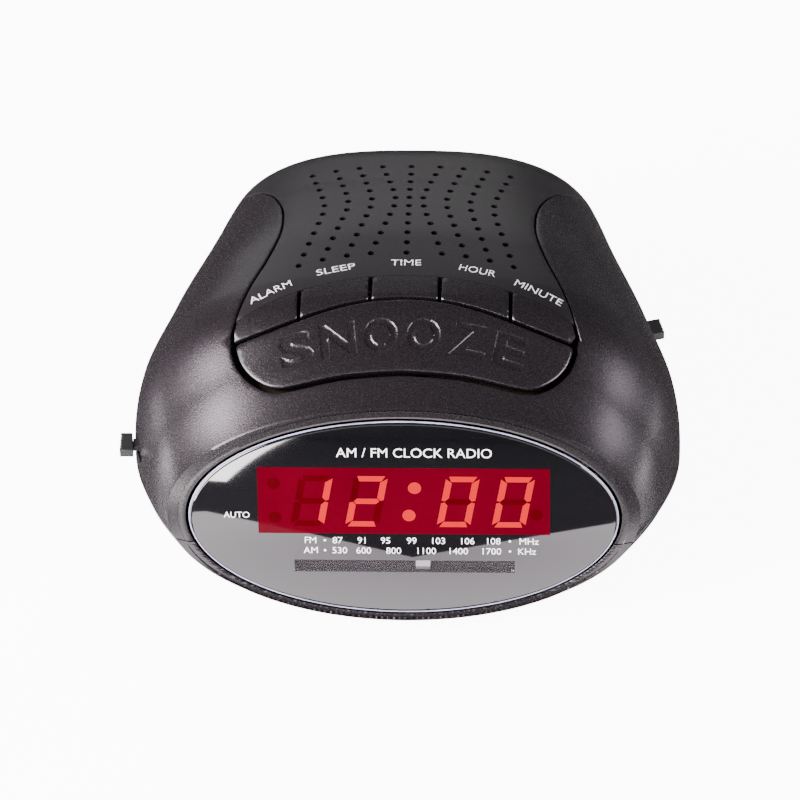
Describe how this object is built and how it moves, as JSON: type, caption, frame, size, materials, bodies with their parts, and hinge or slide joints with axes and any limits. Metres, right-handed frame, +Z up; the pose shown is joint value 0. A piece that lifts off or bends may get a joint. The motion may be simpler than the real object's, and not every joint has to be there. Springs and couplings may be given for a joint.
{
  "type": "clock radio",
  "caption": "Compact clock radio with an oval front lens over a red digit display and tuning dial, a snooze bar, function keys, a speaker grille and side controls.",
  "frame": {"origin": "centre of the radio's bounding box in plan, at the bottom of its rubber feet", "axes": "+X to the user's right, +Y from the lens to the rear wall, +Z up"},
  "size_m": [0.142, 0.1236, 0.0713],
  "materials": {
    "housing_plastic": "coarse spark-eroded charcoal",
    "panel_plastic": "fine satin charcoal",
    "lens_black": "polished",
    "window_red": "polished",
    "display_red": "diffusing segments",
    "rubber_foot": "matt",
    "board_green": "solder mask",
    "board_tan": "phenolic laminate",
    "print_white": "satin",
    "steel": "plated",
    "brass_contact": "plated",
    "copper_winding": "enamelled wire",
    "ferrite": "sintered",
    "cone_paper": "pressed paper",
    "black_plastic": "moulded",
    "capacitor_sleeve": "shrink sleeve",
    "ribbon_grey": "flat cable"
  },
  "bodies": {
    "case": {"upper_housing": "housing_plastic", "lower_housing": "housing_plastic", "top_panel": "panel_plastic", "display_lens": "lens_black", "display_filter": "window_red", "led_display": "display_red", "foot_front_left": "rubber_foot", "foot_front_right": "rubber_foot", "foot_rear_left": "rubber_foot", "foot_rear_right": "rubber_foot", "cord_gland": "rubber_foot", "display_board": "board_green", "main_board": "board_green", "key_board": "board_tan", "left_control_board": "board_tan", "right_control_board": "board_tan", "dial_cord": "print_white", "tuning_capacitor": "print_white", "function_switch": "steel", "band_switch": "steel", "volume_potentiometer": "steel", "speaker_basket": "steel", "transformer_core": "steel", "screw_front_left": "steel", "screw_front_right": "steel", "screw_rear_left": "steel", "screw_rear_right": "steel", "battery_contacts": "brass_contact", "transformer_coil": "copper_winding", "ferrite_coil": "copper_winding", "ferrite_rod": "ferrite", "speaker_magnet": "ferrite", "speaker_cone": "cone_paper", "dial_rail": "black_plastic", "ferrite_holder": "black_plastic", "snooze_switch": "black_plastic", "alarm_switch": "black_plastic", "sleep_switch": "black_plastic", "time_switch": "black_plastic", "hour_switch": "black_plastic", "minute_switch": "black_plastic", "clock_chip": "black_plastic", "radio_chip": "black_plastic", "filter_capacitor": "capacitor_sleeve", "display_ribbon": "ribbon_grey"},
    "snooze": {"snooze_key": "housing_plastic"},
    "alarm": {"alarm_key": "housing_plastic"},
    "sleep": {"sleep_key": "housing_plastic"},
    "time": {"time_key": "housing_plastic"},
    "hour": {"hour_key": "housing_plastic"},
    "minute": {"minute_key": "housing_plastic"},
    "function_slider": {"function_slider_knob": "housing_plastic"},
    "band_slider": {"band_slider_knob": "housing_plastic"},
    "volume": {"volume_wheel": "housing_plastic"},
    "tuning": {"tuning_wheel": "housing_plastic"},
    "pointer": {"dial_pointer": "print_white"},
    "pulley_left": {"dial_pulley_left": "print_white"},
    "pulley_right": {"dial_pulley_right": "print_white"},
    "door": {"battery_door": "housing_plastic"}
  },
  "joints": [
    {"name": "snooze_press", "type": "slide", "parent": "case", "child": "snooze", "axis": [0, 0, -1], "range_m": [0, 0.0015], "stiffness_N_per_m": 600, "springref_m": -0.0005},
    {"name": "alarm_press", "type": "hinge", "parent": "case", "child": "alarm", "pos_m": [-0.03255, -0.01433, 0.0655], "axis": [0.8905, 0.3655, 0.2709], "range_deg": [0, 6], "stiffness_Nm_per_rad": 0.05, "springref_deg": -1.15},
    {"name": "sleep_press", "type": "hinge", "parent": "case", "child": "sleep", "pos_m": [-0.01595, -0.00929, 0.06849], "axis": [0.9757, 0.2061, 0.0739], "range_deg": [0, 6], "stiffness_Nm_per_rad": 0.05, "springref_deg": -1.15},
    {"name": "time_press", "type": "hinge", "parent": "case", "child": "time", "pos_m": [0.00165, -0.00741, 0.06914], "axis": [1, 0, 0], "range_deg": [0, 6], "stiffness_Nm_per_rad": 0.05, "springref_deg": -1.15},
    {"name": "hour_press", "type": "hinge", "parent": "case", "child": "hour", "pos_m": [0.01925, -0.00929, 0.06849], "axis": [0.9757, -0.2061, -0.0739], "range_deg": [0, 6], "stiffness_Nm_per_rad": 0.05, "springref_deg": -1.15},
    {"name": "minute_press", "type": "hinge", "parent": "case", "child": "minute", "pos_m": [0.03585, -0.01433, 0.0655], "axis": [0.8905, -0.3655, -0.2709], "range_deg": [0, 6], "stiffness_Nm_per_rad": 0.05, "springref_deg": -1.15},
    {"name": "function_slide", "type": "slide", "parent": "case", "child": "function_slider", "axis": [0, 1, 0], "range_m": [-0.004, 0.004]},
    {"name": "band_slide", "type": "slide", "parent": "case", "child": "band_slider", "axis": [-0.2667, 0.9638, 0], "range_m": [0, 0.003]},
    {"name": "volume_turn", "type": "hinge", "parent": "case", "child": "volume", "pos_m": [-0.04785, 0.0013, 0.016], "axis": [0, 0, 1], "range_deg": [-150, 120]},
    {"name": "tuning_turn", "type": "hinge", "parent": "case", "child": "tuning", "pos_m": [0.05015, 0.0013, 0.016], "axis": [0, 0, 1], "range_deg": [-114, 95]},
    {"name": "pointer_slide", "type": "slide", "parent": "case", "child": "pointer", "axis": [1, 0, 0], "range_m": [-0.022, 0.0184]},
    {"name": "left_pulley_turn", "type": "hinge", "parent": "case", "child": "pulley_left", "pos_m": [-0.03235, -0.05181, 0.01225], "axis": [0, -0.9537, 0.3007], "range_deg": [-330, 395]},
    {"name": "right_pulley_turn", "type": "hinge", "parent": "case", "child": "pulley_right", "pos_m": [0.03565, -0.05181, 0.01225], "axis": [0, -0.9537, 0.3007], "range_deg": [-330, 395]},
    {"name": "door_swing", "type": "hinge", "parent": "case", "child": "door", "pos_m": [0.00165, 0.0185, 0.003], "axis": [-1, 0, 0], "range_deg": [0, 110]}
  ],
  "couplings": [
    {"joint": "pointer_slide", "follows": "tuning_turn", "m_per_rad": 0.011},
    {"joint": "left_pulley_turn", "follows": "tuning_turn", "ratio": -3.4375},
    {"joint": "right_pulley_turn", "follows": "tuning_turn", "ratio": -3.4375}
  ]
}
